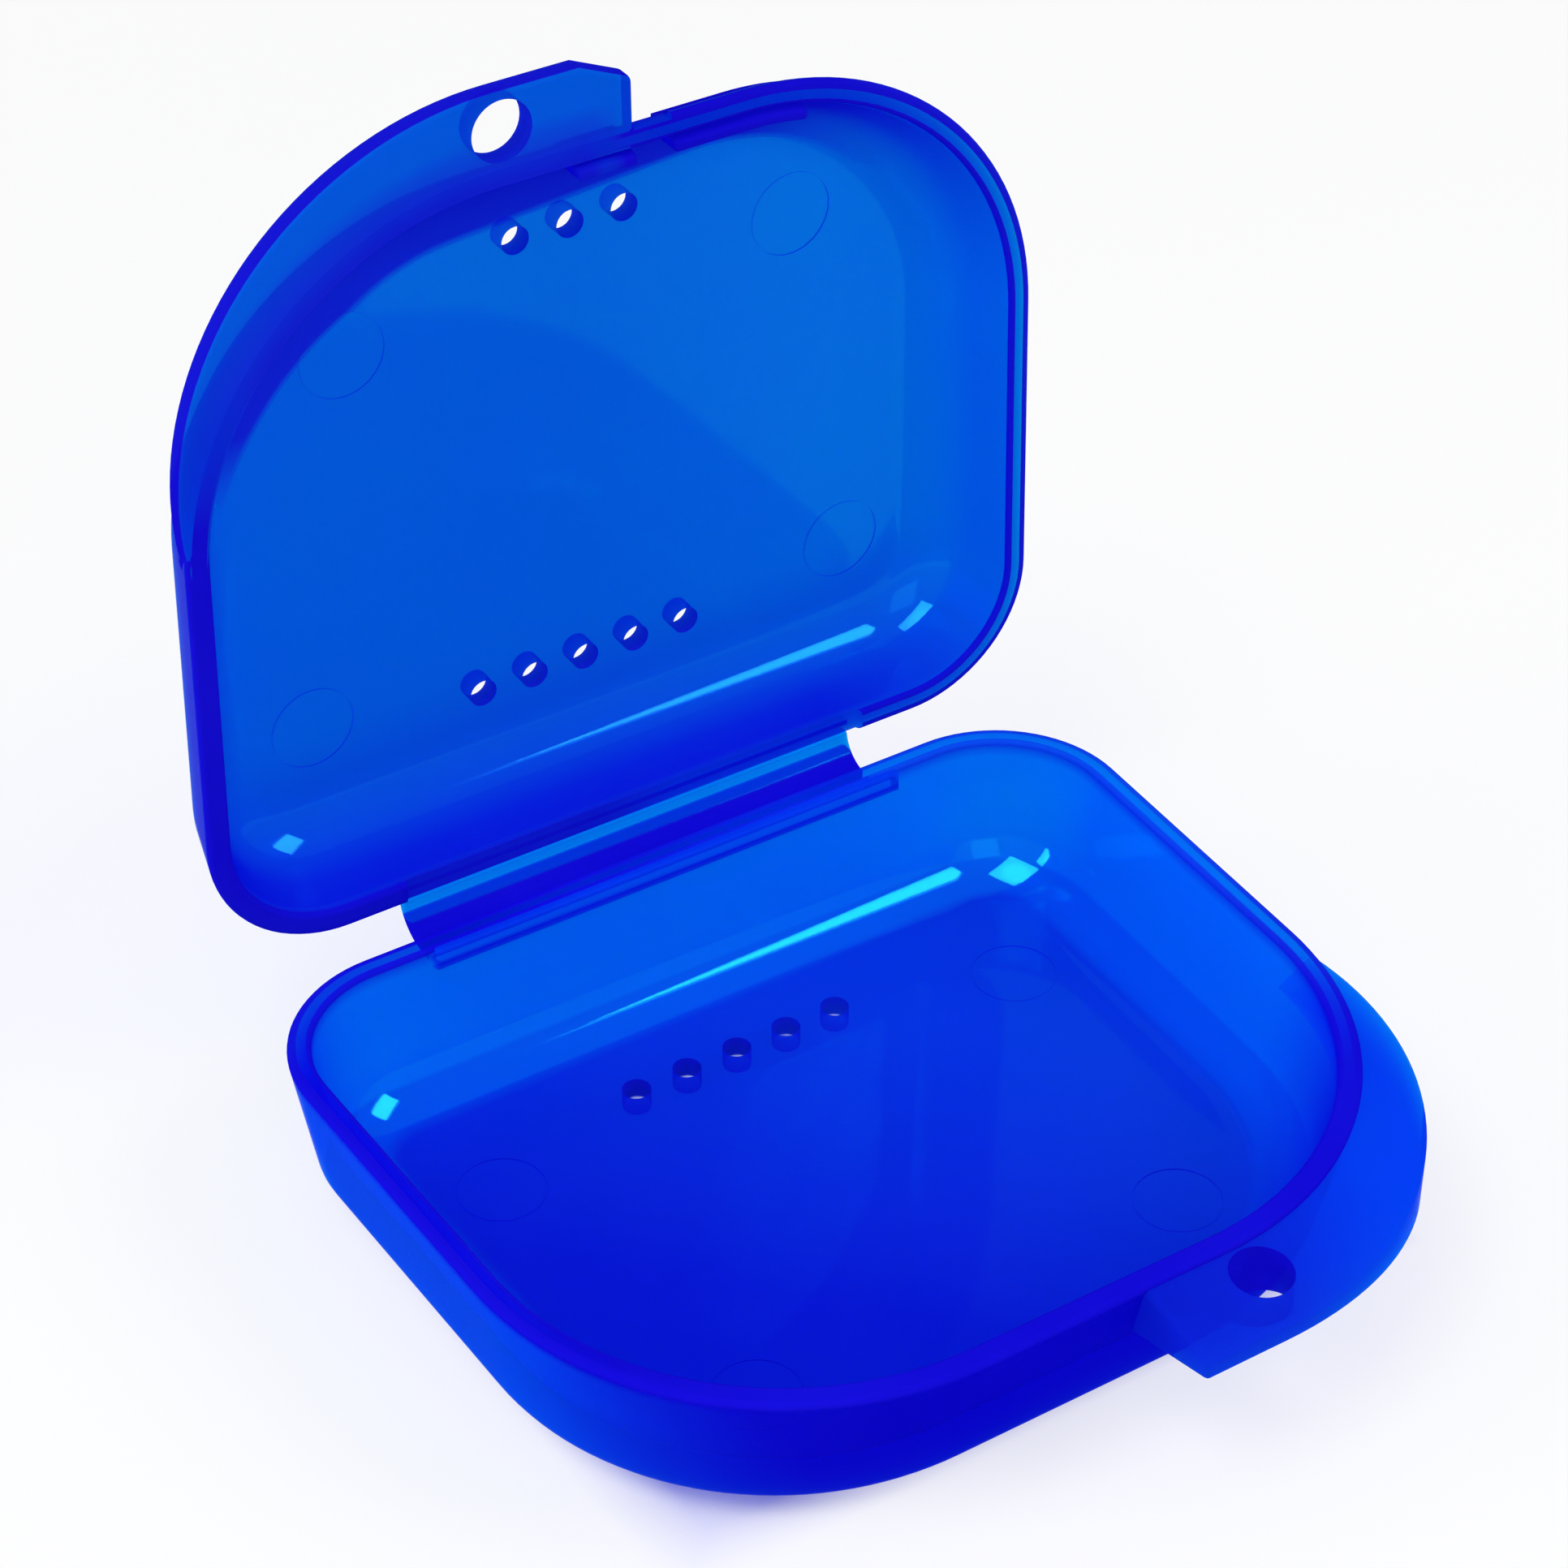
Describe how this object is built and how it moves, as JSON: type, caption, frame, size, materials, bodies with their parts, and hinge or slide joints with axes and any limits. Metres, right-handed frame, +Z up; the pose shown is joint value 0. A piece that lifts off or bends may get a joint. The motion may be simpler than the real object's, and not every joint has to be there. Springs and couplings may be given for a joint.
{
  "type": "orthodontic retainer case",
  "caption": "Clear blue hinged clamshell case for a dental retainer: deep base tray, shallow lid tray, hinge strap, vent rows and side-by-side finger lips.",
  "frame": {"origin": "underside of the base, midway along the hinge and midway between the base's hinge edge and front edge, lips left out", "axes": "+X along the hinge, -Y toward the front, +Z up"},
  "size_m": [0.0798, 0.0868, 0.0893],
  "materials": {
    "blue_plastic": "translucent, smooth gloss"
  },
  "bodies": {
    "base": {"base_shell": "blue_plastic", "base_rim": "blue_plastic", "base_finger_lip": "blue_plastic", "base_hinge_rail": "blue_plastic", "base_hinge_strip": "blue_plastic"},
    "strap": {"hinge_strap": "blue_plastic"},
    "lid": {"lid_hinge_strip": "blue_plastic", "lid_shell": "blue_plastic", "lid_rim": "blue_plastic", "lid_finger_lip": "blue_plastic", "lid_latch_bar": "blue_plastic", "lid_latch_catch": "blue_plastic"}
  },
  "joints": [
    {"name": "strap_fold", "type": "hinge", "parent": "base", "child": "strap", "pos_m": [0, 0.034, 0.0129], "axis": [-1, 0, 0], "range_deg": [-45, 45]},
    {"name": "lid_fold", "type": "hinge", "parent": "strap", "child": "lid", "pos_m": [0, 0.03725, 0.01615], "axis": [-1, 0, 0], "range_deg": [-45, 45]}
  ],
  "couplings": [
    {"joint": "lid_fold", "follows": "strap_fold", "ratio": 1}
  ]
}
